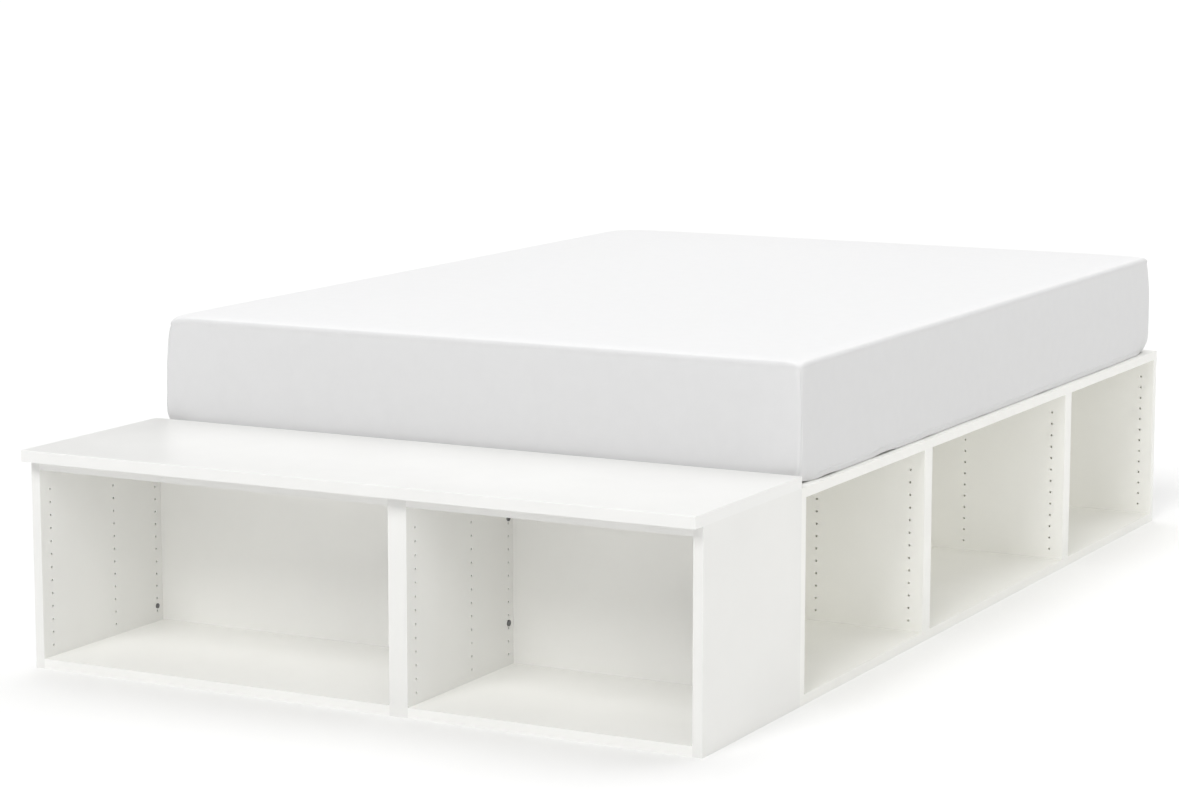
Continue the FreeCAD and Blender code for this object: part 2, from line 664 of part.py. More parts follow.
def mattress_profile(rise, hem_share):
    """Insets from the widest outline and heights, from the lower edge up the swollen side to the crown."""
    lower, upper = amount_of("Sizes.mattress_lower_edge"), amount_of("Sizes.mattress_upper_edge")
    bulge, height = amount_of("Sizes.mattress_bulge"), amount_of("Sizes.mattress_height") + rise
    quarter = math.pi / 2
    profile = []
    for turn in (share * quarter for share in EDGE_SHARES if share >= hem_share):
        profile.append((bulge + lower * (1 - math.sin(turn)), lower * (1 - math.cos(turn))))
    for share in SIDE_SHARES:
        profile.append((bulge * (2 * share - 1) ** 2, lower + share * (height - lower - upper)))
    for turn in (share * quarter for share in EDGE_SHARES):
        profile.append((bulge + upper * (1 - math.cos(turn)), height - upper * (1 - math.sin(turn))))
    crown, run = amount_of("Sizes.mattress_crown"), amount_of("Sizes.mattress_crown_run")
    for share in CROWN_SHARES:
        profile.append((bulge + upper + share * run, height + crown * (1 - (1 - share) ** 2)))
    return profile


def mattress_form(grow, hem_share=0):
    """The mattress, or the same form grown outwards by a skin, on its own middle and underside."""
    half_width = amount_of(f"{BED_WIDTH} / 2 - Sizes.mattress_side_gap") + grow
    length = f"({SIDE_LENGTH} - Sizes.mattress_foot_gap - Sizes.mattress_head_gap)"
    half_length = amount_of(f"{length} / 2") + grow
    corner = amount_of("Sizes.mattress_corner") + grow
    most_drawn_in = amount_of("Sizes.mattress_bulge + Sizes.mattress_upper_edge")
    outlines = []
    for inset, z in mattress_profile(grow, hem_share):
        rounding = corner + min(inset, most_drawn_in)
        outlines.append(rounded_outline(half_width - inset, half_length - inset, rounding, z))
    return Part.makeLoft(outlines, True, True)


def soft_piece(label, shape):
    """A soft piece set on the slats."""
    feature = doc.addObject("Part::Feature", label)
    feature.Label = label
    feature.Shape = shape
    middle_y = f"({BENCH_REAR_Y} + Sizes.mattress_foot_gap + {HEAD_Y} - Sizes.mattress_head_gap) / 2"
    place(feature, "0", middle_y, "Sizes.cabinet_height + Sizes.slat_thickness + Sizes.rest_gap")
    pieces.append(feature)


def bedding():
    play, cloth = amount_of("Sizes.sheet_play"), amount_of("Sizes.sheet_thickness")
    soft_piece("mattress", mattress_form(0))
    soft_piece("fitted_sheet", mattress_form(play + cloth, SHEET_HEM_SHARE).cut(mattress_form(play)))


for cabinet_row in ROWS:
    for cabinet_index in range(len(cabinet_row)):
        cabinet_boards(cabinet_row, cabinet_index)
bench_top()
head_panel()
centre_support()
slatted_base()
carcass_fittings()
link_fittings()
wall_plug()
tie_screws()
bench_top_screws()
bedding()
doc.recompute()

for item in doc.Objects:
    if {"Invalid", "Error"} & set(item.State):
        raise RuntimeError(f"{item.Label} failed: {item.State}")
for piece in pieces:
    if piece.Shape.isNull() or not piece.Shape.isValid():
        raise RuntimeError(f"{piece.Label} has no valid shape")

os.makedirs("parts", exist_ok=True)
for piece in pieces:
    piece.Shape.exportStep(f"parts/{piece.Label}.step")
print(len(pieces), "pieces")
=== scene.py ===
import math

import bpy
import numpy as np
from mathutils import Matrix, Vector, noise


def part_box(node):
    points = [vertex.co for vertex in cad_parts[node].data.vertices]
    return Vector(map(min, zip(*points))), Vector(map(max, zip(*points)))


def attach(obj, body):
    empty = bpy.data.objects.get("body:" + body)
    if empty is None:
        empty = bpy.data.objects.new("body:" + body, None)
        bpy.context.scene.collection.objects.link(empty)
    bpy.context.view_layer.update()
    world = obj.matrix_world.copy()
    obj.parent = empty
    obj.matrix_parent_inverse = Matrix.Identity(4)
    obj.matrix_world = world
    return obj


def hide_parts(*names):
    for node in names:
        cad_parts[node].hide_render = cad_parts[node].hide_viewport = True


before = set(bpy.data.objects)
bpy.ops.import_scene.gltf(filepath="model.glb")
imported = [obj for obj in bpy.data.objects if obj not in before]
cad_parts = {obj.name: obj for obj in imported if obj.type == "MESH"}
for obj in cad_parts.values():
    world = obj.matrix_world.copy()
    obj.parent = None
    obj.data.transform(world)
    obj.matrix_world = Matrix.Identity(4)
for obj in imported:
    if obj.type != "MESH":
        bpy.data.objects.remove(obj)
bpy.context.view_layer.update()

# Everything is in metres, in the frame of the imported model: +Z up, the foot end towards -Y.

# Camera, at the photograph's viewing angle
CAMERA_PLACE = (3.025, -5.973, 1.441)
CAMERA_TURN = 0.4879
CAMERA_TILT = 0.1553
SENSOR_WIDTH_MILLIMETRES = 36
PICTURE_WIDTH_PIXELS = 1179
FOCAL_PIXELS = 3238

# Form of the mattress, as in its solid
PAD_CORNER = 0.022
PAD_UPPER_EDGE = 0.016
PAD_LOWER_EDGE = 0.024
PAD_BULGE = 0.005
PAD_CROWN = 0.006
PAD_CROWN_RUN = 0.320

# How much wider a corner is rounded where the side is set in, as a share of the inset
PAD_SPREAD_SHARE = 0.6
SHEET_SPREAD_SHARE = 1.6

# How far the mattress pad lies inside its solid's form, and the sheet outside it
CORE_SINK = 0.0020
CLOTH_LIFT = 0.0008

# The sheet is crisper than the mattress under it: its sewn corners, its upper edge, and the dip below that edge, given
# as depths under the edge and shares of the dip. The tuck is the share of the bulge that draws its lower half in.
SHEET_CORNER = 0.008
SHEET_UPPER_EDGE = 0.009
SHEET_BULGE = 0.003
SHEET_TUCK = 0.1
EDGE_DIP = 0.0009
EDGE_DIP_ROWS = ((0.003, 1.0), (0.007, 0.5), (0.013, 0.0))

# How far the long sides fall back beside a sewn corner, and over what runs
SEAM_FALL = 0.0030
SEAM_RUN = 0.020
SEAM_RETURN = 0.250
SEAM_FADE = 0.030

# Hem of the sheet: its height above the ledge, where it lifts, and how it sways in and out
HEM_CLEAR = 0.0012
HEM_WAVE = 0.0040
HEM_WAVE_RUN = 0.14
HEM_WAVE_SEED = 3.0
HEM_CORNER_LIFT = 0.0085
HEM_CORNER_RUN = 0.050
HEM_DRAW = 0.0010
HEM_SWAY = 0.0010
HEM_SWAY_RUN = 0.20
HEM_SWAY_SEED = 8.0
HEM_LOWEST = 0.0007

# Lifts of the hem on the right side: place along the bed, half length, height. A fullness over 1 gives them flat tops.
HEM_LIFTS = ((-0.638, 0.070, 0.0045), (-0.377, 0.090, 0.0050), (-0.163, 0.050, 0.0040),
             (0.120, 0.080, 0.0030), (0.480, 0.100, 0.0035), (0.840, 0.070, 0.0030))
HEM_LIFT_FULLNESS = 1.3

# How far the sheet's foot end swings out towards the bench, from what height, how it grows downwards, and how far back
# along the long sides it reaches
FOOT_SWING = 0.015
FOOT_SWING_TOP = 0.140
FOOT_SWING_POWER = 1.5
FOOT_SWING_RUN = 0.050

# How much of that swing is left at the corners, and over what run
FOOT_SWING_LEFT_SHARE = 0.3
FOOT_SWING_FADE = 0.060

# How far the hem is drawn in at the corners, from what height above the ledge, and over what run
CORNER_DRAW = 0.012
CORNER_DRAW_TOP = 0.045
CORNER_DRAW_RUN = 0.090

# How far the upper corners droop on the left and the right, over what run and from what depth
CORNER_DROOP_LEFT = 0.007
CORNER_DROOP_RIGHT = 0.002
CORNER_DROOP_RUN = 0.045
CORNER_DROOP_DEPTH = 0.040

# Hem casing: its section, as offsets outwards and upwards from the hem, and the line of its stitches
CASING_SECTION = ((-0.0003, -0.0004), (0.0006, -0.0004), (0.0011, 0.0020),
                  (0.0011, 0.0090), (0.0007, 0.0115), (-0.0003, 0.0118))
CASING_STITCH_HEIGHT = 0.0095
CASING_STITCH_OUT = 0.0011

# Stitches, with rings given as places along a stitch and shares of its width
STITCH_LENGTH = 0.0036
STITCH_PITCH = 0.0055
STITCH_HALF = 0.0004
STITCH_RINGS = ((-0.5, 0.4), (-0.2, 1.0), (0.2, 1.0), (0.5, 0.4))

# Corner seams: they start thin and swell over their first rows, and their stitches start a little lower
SEAM_HALF_WIDTH = 0.0014
SEAM_PROUD = 0.0009
SEAM_SIDES = 6
SEAM_START_SHARE = 0.2
SEAM_SWELL_ROWS = 3
SEAM_STITCH_ROW = 2

# How the cloth settles
SETTLE_FRAMES = 24
SETTLE_CAP = 0.003
SETTLE_LEAST = 0.000003
CLOTH_QUALITY = 5
CLOTH_MASS = 0.15
CLOTH_STRETCH = 20.0
CLOTH_SHEAR = 8.0
CLOTH_BEND = 0.6
CLOTH_GAP = 0.0012
CLOTH_GRIP = 12.0
CLOTH_SLACK_SHARE = 0.004
HEM_GATHER_SHARE = 0.003

# Steps of the cloth's net
NET_STEP = 0.016
CORNER_STEPS = 4
EDGE_ROWS = 5
SIDE_ROWS = 13
LOWER_ROWS = 4


def new_object(name, points, faces):
    """A smooth-shaded mesh object."""
    mesh = bpy.data.meshes.new(name)
    mesh.from_pydata([tuple(point) for point in points], [], faces)
    mesh.validate()
    mesh.polygons.foreach_set("use_smooth", [True] * len(mesh.polygons))
    made = bpy.data.objects.new(name, mesh)
    bpy.context.scene.collection.objects.link(made)
    return made


# Materials

# How fast the painted light and shade that go by a face's direction fall off as the face turns away
FACING_POWER = 6

# Places of the factor, the two colours and the result among the sockets of a colour mix
MIX_FACTOR, MIX_FIRST, MIX_SECOND, MIX_RESULT = 0, 6, 7, 2

# How far the tone of boards and cloth varies, and the gloss of boards, both ways
BOARD_MOTTLE = 0.012
BOARD_GLOSS_SPAN = 0.07
CLOTH_MOTTLE = 0.006

# How much finer the grain of wood is across than along
GRAIN_STRETCH = 0.045


def new_material(name, colour, roughness, **sockets):
    """A material with one shader, and its tree."""
    made = bpy.data.materials.new(name)
    made.use_nodes = True
    tree = made.node_tree
    shader = tree.nodes["Principled BSDF"]
    shader.inputs["Base Color"].default_value = (*colour, 1)
    shader.inputs["Roughness"].default_value = roughness
    for socket, value in sockets.items():
        shader.inputs[socket.replace("_", " ")].default_value = value
    return made, tree, shader


def add_node(tree, kind, links=(), **values):
    """A node with its settings and input values, and its incoming links."""
    node = tree.nodes.new(kind)
    for key, value in values.items():
        if hasattr(node, key):
            setattr(node, key, value)
        else:
            node.inputs[key.replace("_", " ")].default_value = value
    for socket, source in links:
        tree.links.new(source, node.inputs[socket])
    return node


def stretched(tree, scale):
    """The object's own coordinates, scaled along each axis."""
    place = add_node(tree, "ShaderNodeTexCoord")
    return add_node(tree, "ShaderNodeMapping", [("Vector", place.outputs["Object"])], Scale=scale).outputs["Vector"]


def noise_field(tree, scale, detail, spread=(1, 1, 1)):
    """A noise value over the surface, with its size set along each axis."""
    field = add_node(tree, "ShaderNodeTexNoise", [("Vector", stretched(tree, spread))], Scale=scale, Detail=detail)
    return field.outputs["Fac"]


def ramp(tree, value, low, high, spread=(0.35, 0.65)):
    """A colour between two, by a value."""
    node = add_node(tree, "ShaderNodeValToRGB", [("Fac", value)])
    ends = node.color_ramp.elements
    ends[0].position, ends[1].position = spread
    ends[0].color = (*low, 1)
    ends[1].color = (*high, 1)
    return node.outputs["Color"]


def spanned(tree, value, low, high):
    """A value moved from 0..1 to another span."""
    return add_node(tree, "ShaderNodeMapRange", [("Value", value)], To_Min=low, To_Max=high).outputs["Result"]


def shaded(colour, share):
    """A colour, darker or lighter by a share."""
    return tuple(channel * (1 + share) for channel in colour)


def mottled(tree, value, colour, share):
    """A colour that goes darker and lighter by a share, by a value."""
    return ramp(tree, value, shaded(colour, -share), shaded(colour, share))


def bumped(tree, shader, height, depth, strength, under=None):
    """Relief from a height field, over any relief that lies under it."""
    links = [("Height", height)]
    if under is not None:
        links.append(("Normal", under))
    bump = add_node(tree, "ShaderNodeBump", links, Strength=strength, Distance=depth)
    tree.links.new(bump.outputs["Normal"], shader.inputs["Normal"])
    return bump.outputs["Normal"]


def by_facing(tree, axis, away, along):
    """One colour on faces that look straight along an axis, and another on those that look away from it: painted light
    and shade by which way a face turns.
    """
    facing = add_node(tree, "ShaderNodeTexCoord").outputs["Normal"]
    parts = add_node(tree, "ShaderNodeSeparateXYZ", [("Vector", facing)])
    turned = add_node(tree, "ShaderNodeMath", [(0, parts.outputs[axis])], operation="ABSOLUTE").outputs["Value"]
    share = add_node(tree, "ShaderNodeMath", [(0, turned)], operation="POWER")
    share.inputs[1].default_value = FACING_POWER
    links = [(MIX_FACTOR, share.outputs["Value"]), (MIX_FIRST, away), (MIX_SECOND, along)]
    return add_node(tree, "ShaderNodeMix", links, data_type="RGBA").outputs[MIX_RESULT]


def foil_board(name, colour, roughness, edge=None, edge_light_and_shade=None):
    """Chipboard in a satin foil: a faint mottle, a fine pore, uneven gloss, and painted shade and light on the banded
    edges, by the faces' direction.
    """
    made, tree, shader = new_material(name, colour, roughness, Specular_IOR_Level=0.4)
    mottle = noise_field(tree, scale=5.0, detail=4)
    tint = mottled(tree, mottle, colour, BOARD_MOTTLE)
    # Faces that look along the edge axis are painted darker as shade for a negative share, and lighter as light for a
    # positive one
    if edge:
        tint = by_facing(tree, edge, tint, mottled(tree, mottle, shaded(colour, edge_light_and_shade), BOARD_MOTTLE))
    tree.links.new(tint, shader.inputs["Base Color"])
    gloss = spanned(tree, noise_field(tree, scale=22.0, detail=3), roughness - BOARD_GLOSS_SPAN,
                    roughness + BOARD_GLOSS_SPAN)
    tree.links.new(gloss, shader.inputs["Roughness"])
    wave = bumped(tree, shader, noise_field(tree, scale=3.0, detail=2), depth=0.0004, strength=0.4)
    bumped(tree, shader, noise_field(tree, scale=1100.0, detail=2), depth=0.00003, strength=0.5, under=wave)
    return made


def timber(name, pale, dark, roughness, along):
    """Planed wood with grain along one axis."""
    made, tree, shader = new_material(name, pale, roughness, Specular_IOR_Level=0.3)
    long_spread = tuple(GRAIN_STRETCH if axis == along else 1.0 for axis in "xyz")
    rings = noise_field(tree, scale=70.0, detail=5, spread=long_spread)
    tree.links.new(ramp(tree, rings, dark, pale, spread=(0.3, 0.62)), shader.inputs["Base Color"])
    fibre = noise_field(tree, scale=900.0, detail=3, spread=long_spread)
    tree.links.new(spanned(tree, fibre, low=roughness - 0.08, high=roughness + 0.1), shader.inputs["Roughness"])
    bumped(tree, shader, fibre, depth=0.0001, strength=0.6)
    return made


def plated(name, colour, roughness):
    """Plated steel with fine tool marks."""
    made, tree, shader = new_material(name, colour, roughness, Metallic=1.0)
    marks = noise_field(tree, scale=1600.0, detail=3, spread=(1.0, 1.0, 0.1))
    tint = ramp(tree, marks, low=shaded(colour, -0.2), high=shaded(colour, 0.1))
    tree.links.new(tint, shader.inputs["Base Color"])
    tree.links.new(spanned(tree, marks, low=roughness - 0.1, high=roughness + 0.12), shader.inputs["Roughness"])
    bumped(tree, shader, marks, depth=0.00004, strength=0.5)
    return made


def woven(name, colour, thread, depth, sheen, side_shade_share=None):
    """Cloth with crossing threads, thicker and thinner yarns, a soft sheen, and sides painted darker than the top as
    shade.
    """
    made, tree, shader = new_material(name, colour, roughness=0.9, Specular_IOR_Level=0.15, Sheen_Weight=sheen,
                                      Sheen_Roughness=0.5)
    threads = math.pi / (10 * thread)
    yarns = [add_node(tree, "ShaderNodeTexWave", [("Vector", stretched(tree, (1, 1, 1)))], wave_type="BANDS",
                      bands_direction=axis, Scale=threads, Distortion=0.6, Detail=1.0) for axis in "XYZ"]
    joined = add_node(tree, "ShaderNodeCombineXYZ", [(axis, yarn.outputs["Fac"]) for axis, yarn in zip("XYZ", yarns)])
    crossed = add_node(tree, "ShaderNodeVectorMath", [(0, joined.outputs["Vector"])], operation="LENGTH")
    slub = noise_field(tree, scale=40.0, detail=4)
    tint = mottled(tree, slub, colour, CLOTH_MOTTLE)
    if side_shade_share:
        # The sheet's sides are painted darker than its top, as shade
        tint = by_facing(tree, "Z", mottled(tree, slub, shaded(colour, side_shade_share), CLOTH_MOTTLE), tint)
    tree.links.new(tint, shader.inputs["Base Color"])
    creased = bumped(tree, shader, noise_field(tree, scale=26.0, detail=3), depth=0.0003, strength=0.2)
    bumped(tree, shader, crossed.outputs["Value"], depth, strength=0.6, under=creased)
    return made


def fleecy(name, colour):
    """Pressed felt with tangled fibres."""
    made, tree, shader = new_material(name, colour, roughness=0.95, Specular_IOR_Level=0.1, Sheen_Weight=0.3)
    fibres = noise_field(tree, scale=700.0, detail=6)
    tint = ramp(tree, fibres, low=shaded(colour, -0.3), high=shaded(colour, 0.25))
    tree.links.new(tint, shader.inputs["Base Color"])
    bumped(tree, shader, fibres, depth=0.0004, strength=0.8)
    return made


def limed(name, colour):
    """A pale seamless floor, with the faintest mottle."""
    made, tree, shader = new_material(name, colour, roughness=0.8, Specular_IOR_Level=0.1)
    mottle = noise_field(tree, scale=1.3, detail=3)
    tree.links.new(ramp(tree, mottle, low=shaded(colour, -0.01), high=colour), shader.inputs["Base Color"])
    return made


BOARD_WHITE = (0.893, 0.891, 0.873)
SIDE_WHITE = (0.907, 0.904, 0.876)
# The bench top's white is the boards' white painted darker, as shade against the strong light on its top
TOP_SHADED_WHITE = (0.806, 0.805, 0.793)
PANEL_WHITE = (0.915, 0.912, 0.895)
COTTON_WHITE = (0.818, 0.818, 0.825)
TICKING_PALE = (0.76, 0.76, 0.72)
TAPE_PALE = (0.74, 0.72, 0.66)
PINE_PALE, PINE_DARK = (0.62, 0.42, 0.22), (0.45, 0.27, 0.12)
BEECH_PALE, BEECH_DARK = (0.56, 0.36, 0.19), (0.44, 0.26, 0.13)
FELT_GREY = (0.10, 0.095, 0.09)
# Steel's grey is darker than bare steel, partly as painted shade in the holes of the link fittings
STEEL_AND_HOLE_SHADE_GREY = (0.20, 0.20, 0.205)
ZINC_GREY = (0.34, 0.34, 0.36)

# How much darker the sheet's sides are than its top, and the bench's walls than its other boards: painted shade, for
# the lesser light that falls on them
SHEET_SIDE_SHADE = -0.160
BENCH_WALL_SHADE = -0.07

# How much lighter or darker the banded edges are than the boards' faces: painted light and shade
SIDE_EDGE_SHADE = -0.03
BENCH_EDGE_SHADE = -0.04
BENCH_WALL_EDGE_SHADE = -0.05
TOP_EDGE_LIGHT = 0.06

BOARD_ROUGHNESS = 0.42
TOP_ROUGHNESS = 0.38
PANEL_ROUGHNESS = 0.55

finishes = {name: kind(name, **settings) for name, kind, settings in (
    ("white_board", foil_board, dict(colour=SIDE_WHITE, roughness=BOARD_ROUGHNESS, edge="X",
                                     edge_light_and_shade=SIDE_EDGE_SHADE)),
    ("white_bench", foil_board, dict(colour=BOARD_WHITE, roughness=BOARD_ROUGHNESS, edge="Y",
                                     edge_light_and_shade=BENCH_EDGE_SHADE)),
    # The bench's walls: the boards' white painted darker, as shade
    ("white_bench_wall", foil_board, dict(colour=shaded(BOARD_WHITE, BENCH_WALL_SHADE), roughness=BOARD_ROUGHNESS,
                                          edge="Y", edge_light_and_shade=BENCH_WALL_EDGE_SHADE)),
    ("white_top", foil_board, dict(colour=TOP_SHADED_WHITE, roughness=TOP_ROUGHNESS, edge="X", edge_light_and_shade=TOP_EDGE_LIGHT)),
    ("white_panel", foil_board, dict(colour=PANEL_WHITE, roughness=PANEL_ROUGHNESS)),
    ("pine", timber, dict(pale=PINE_PALE, dark=PINE_DARK, roughness=0.55, along="x")),
    ("pine_beam", timber, dict(pale=PINE_PALE, dark=PINE_DARK, roughness=0.55, along="y")),
    ("beech", timber, dict(pale=BEECH_PALE, dark=BEECH_DARK, roughness=0.5, along="z")),
    ("felt", fleecy, dict(colour=FELT_GREY)),
    ("steel", plated, dict(colour=STEEL_AND_HOLE_SHADE_GREY, roughness=0.4)),
    ("zinc", plated, dict(colour=ZINC_GREY, roughness=0.35)),
    ("tape", woven, dict(colour=TAPE_PALE, thread=0.0016, depth=0.0002, sheen=0.1)),
    ("ticking", woven, dict(colour=TICKING_PALE, thread=0.0012, depth=0.0001, sheen=0.2)),
    ("cotton", woven, dict(colour=COTTON_WHITE, thread=0.0009, depth=0.00006, sheen=0.3, side_shade_share=SHEET_SIDE_SHADE)),
)}

FINISH_BY_NAME = {
    "head_panel": "white_panel", "bench_top": "white_top", "centre_beam": "pine_beam", "centre_legs": "steel",
    "leg_pads": "felt", "wood_dowels": "beech", "cam_bolts": "zinc", "cam_discs": "zinc", "link_bolts": "steel",
    "link_sleeves": "steel", "wall_plug": "steel", "tie_screws": "zinc", "bench_top_screws": "zinc",
    "slats": "pine", "slat_tapes": "tape", "mattress": "ticking", "fitted_sheet": "cotton",
}


def finish_of(name):
    """The finish of a piece of the frame, by what it is made of; the bench's walls get a copy of the white painted
    darker as shade.
    """
    if name in FINISH_BY_NAME:
        return FINISH_BY_NAME[name]
    if name.endswith("back_panel"):
        return "white_panel"
    if not name.startswith("bench"):
        return "white_board"
    return "white_bench_wall" if name.endswith("wall") else "white_bench"


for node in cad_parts.values():
    node.data.materials.clear()
    node.data.materials.append(finishes[finish_of(node.name)])


# Mattress and fitted sheet

pad_low, pad_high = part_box("mattress")
PAD_CENTRE = (pad_low + pad_high) / 2
PAD_HALF_X = (pad_high.x - pad_low.x) / 2
PAD_HALF_Y = (pad_high.y - pad_low.y) / 2
PAD_HEIGHT = pad_high.z - pad_low.z - PAD_CROWN
RIM_INSET = PAD_BULGE + PAD_UPPER_EDGE
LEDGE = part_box("right_foot_top_board")[1].z

count_x = 2 * CORNER_STEPS + round(2 * (PAD_HALF_X - RIM_INSET) / NET_STEP)
count_y = 2 * CORNER_STEPS + round(2 * (PAD_HALF_Y - RIM_INSET) / NET_STEP)


def station(step, count, straight):
    """A net line's place on the straight stretch, and how far it lies into a corner, from -1 to 1."""
    if step < CORNER_STEPS:
        return -straight, step / CORNER_STEPS - 1
    if step > count - CORNER_STEPS:
        return straight, (step - count) / CORNER_STEPS + 1
    return straight * (2 * (step - CORNER_STEPS) / (count - 2 * CORNER_STEPS) - 1), 0.0


def net_point(i, j, half_x, half_y, corner):
    """Where two net lines cross on a rounded rectangle: each corner's square of net lies on its quarter disc."""
    x, u = station(i, count_x, half_x - corner)
    y, v = station(j, count_y, half_y - corner)
    if u and v:
        reach = max(abs(u), abs(v))
        turn = math.pi / 4 * min(abs(u), abs(v)) / reach
        near, far = math.cos(turn) * reach, math.sin(turn) * reach
        u, v = ((math.copysign(near, u), math.copysign(far, v)) if abs(u) >= abs(v)
                else (math.copysign(far, u), math.copysign(near, v)))
    return x + u * corner, y + v * corner


def rim_steps():
    """The net's outer crossings, once round."""
    return ([(i, 0) for i in range(count_x)] + [(count_x, j) for j in range(count_y)]
            + [(i, count_y) for i in range(count_x, 0, -1)] + [(0, j) for j in range(count_y, 0, -1)])


def crown_share(distance):
    """How much of the crown is reached at a distance inside the rim."""
    return 1 - (1 - min(max(distance, 0) / PAD_CROWN_RUN, 1)) ** 2


def side_profile(upper_edge, bulge, dip, tuck):
    """Insets and heights from the rim over the upper edge, down the swollen side and round the lower edge."""
    quarter = math.pi / 2
    edge_end = PAD_HEIGHT - upper_edge
    rows = [(bulge + upper_edge, PAD_HEIGHT)]
    for row in range(1, EDGE_ROWS + 1):
        turn = quarter * (1 - row / EDGE_ROWS)
        rows.append((bulge + upper_edge * (1 - math.cos(turn)), PAD_HEIGHT - upper_edge * (1 - math.sin(turn))))
    rows += [(bulge + dip * share, edge_end - depth) for depth, share in EDGE_DIP_ROWS]
    side_top = rows[-1][1]
    for row in range(1, SIDE_ROWS + 1):
        share = 1 - row / SIDE_ROWS
        swell = bulge * (2 * share - 1) ** 2 * (1 if share > 0.5 else tuck)
        rows.append((swell, PAD_LOWER_EDGE + share * (side_top - PAD_LOWER_EDGE)))
    for row in range(1, LOWER_ROWS + 1):
        turn = quarter * (1 - row / LOWER_ROWS)
        rows.append((PAD_BULGE + PAD_LOWER_EDGE * (1 - math.sin(turn)), PAD_LOWER_EDGE * (1 - math.cos(turn))))
    return rows


def pad_net(name, grow, corner, spread_share, rows, closed):
    """The mattress's form as a net of squares: its top, then rings down its sides, then its underside."""
    rim_inset = rows[0][0]
    points, index = [], {}

    def add(key, x, y, z):
        index[key] = len(points)
        points.append((PAD_CENTRE.x + x, PAD_CENTRE.y + y, pad_low.z + z))

    def size_at(inset):
        spread = corner + spread_share * min(inset, rim_inset)
        return PAD_HALF_X - inset + grow, PAD_HALF_Y - inset + grow, spread + grow

    rim = size_at(rim_inset)
    for i in range(count_x + 1):
        for j in range(count_y + 1):
            x, y = net_point(i, j, *rim)
            rise = PAD_CROWN * crown_share(rim[0] - abs(x)) * crown_share(rim[1] - abs(y))
            add((i, j), x, y, PAD_HEIGHT + grow + rise)
    loop = rim_steps()
    rows = rows[1:]
    for row, (inset, z) in enumerate(rows):
        lift = grow if row < EDGE_ROWS else 0
        for i, j in loop:
            add((row, i, j), *net_point(i, j, *size_at(inset)), z + lift)
    faces = [[index[i, j], index[i + 1, j], index[i + 1, j + 1], index[i, j + 1]]
             for i in range(count_x) for j in range(count_y)]
    rings = [[index[step] for step in loop]]
    for row in range(len(rows)):
        rings.append([index[(row, *step)] for step in loop])
        faces += [[rings[-2][k - 1], rings[-1][k - 1], rings[-1][k], rings[-2][k]] for k in range(len(loop))]
    if closed:
        inset, z = rows[-1]
        under = dict(zip(loop, rings[-1]))
        for i in range(1, count_x):
            for j in range(1, count_y):
                add(("under", i, j), *net_point(i, j, *size_at(inset)), z)
                under[i, j] = index["under", i, j]
        faces += [[under[i, j], under[i, j + 1], under[i + 1, j + 1], under[i + 1, j]]
                  for i in range(count_x) for j in range(count_y)]
    return new_object(name, points, faces), np.array(rings)


def points_of(piece):
    """A mesh's points as rows."""
    found = np.empty(3 * len(piece.data.vertices))
    piece.data.vertices.foreach_get("co", found)
    return found.reshape(-1, 3)


def set_points(piece, points):
    """Moves a mesh's points."""
    piece.data.vertices.foreach_set("co", points.ravel())
    piece.data.update()


def wander(places, span, seed):
    """A slow smooth value from about -1 to 1 at each place."""
    return np.array([noise.noise(Vector(place) / span + Vector((seed, 0, 0))) for place in places]) * 2


def eased(share):
    """A share from 0 to 1, with a soft start and end."""
    share = np.clip(share, 0, 1)
    return share * share * (3 - 2 * share)


def hem_height(places):
    """The hem's height above the ledge: it lifts in places along the right side, at the corners and by chance."""
    away = np.abs(places - np.array(PAD_CENTRE))
    corner = np.minimum(1, np.hypot(PAD_HALF_X - away[:, 0], PAD_HALF_Y - away[:, 1]) / HEM_CORNER_RUN)
    lift = HEM_CORNER_LIFT * eased(1 - corner)
    chance = HEM_WAVE * np.clip(wander(places, HEM_WAVE_RUN, HEM_WAVE_SEED), 0, 1)
    right = (places[:, 0] > PAD_CENTRE.x) & (PAD_HALF_X - away[:, 0] < PAD_BULGE + SHEET_CORNER)
    seen = np.zeros(len(places))
    for place, half, height in HEM_LIFTS:
        seen += height * eased(HEM_LIFT_FULLNESS * (1 - np.abs(places[:, 1] - place) / half))
    return HEM_CLEAR + np.maximum(lift, np.where(right, seen, chance))


def fall_back(points, rings):
    """Lets the long sides fall back beside the sewn corners."""
    for ring in rings[1:]:
        spot = points[ring]
        run = np.clip(PAD_HALF_Y - SHEET_CORNER - np.abs(spot[:, 1] - PAD_CENTRE.y), 0, SEAM_RETURN)
        depth = eased((pad_low.z + PAD_HEIGHT - SHEET_UPPER_EDGE - spot[:, 2]) / SEAM_FADE)
        fall = SEAM_FALL * (1 - np.exp(-run / SEAM_RUN)) * (1 - run / SEAM_RETURN) * depth
        points[ring, 0] -= np.sign(spot[:, 0] - PAD_CENTRE.x) * fall


def hang_hem(points, rings):
    """Lets the sides hang straight from the mattress's lower edge to an uneven hem."""
    top = points[rings[-1 - LOWER_ROWS]]
    inward = np.column_stack([PAD_CENTRE.x - top[:, 0], PAD_CENTRE.y - top[:, 1], np.zeros(len(top))])
    square = np.column_stack([PAD_HALF_X - np.abs(inward[:, 0]) < PAD_CORNER,
                              PAD_HALF_Y - np.abs(inward[:, 1]) < PAD_CORNER, np.zeros(len(top), bool)])
    inward = np.sign(inward) * square
    drop = top[:, 2] - LEDGE - hem_height(top)
    draw = HEM_DRAW + HEM_SWAY * wander(top, HEM_SWAY_RUN, HEM_SWAY_SEED)
    for row in range(LOWER_ROWS):
        share = (row + 1) / LOWER_ROWS
        hung = top + inward * (draw * share ** 2)[:, None]
        points[rings[row - LOWER_ROWS]] = hung - np.outer(drop * share, (0, 0, 1))


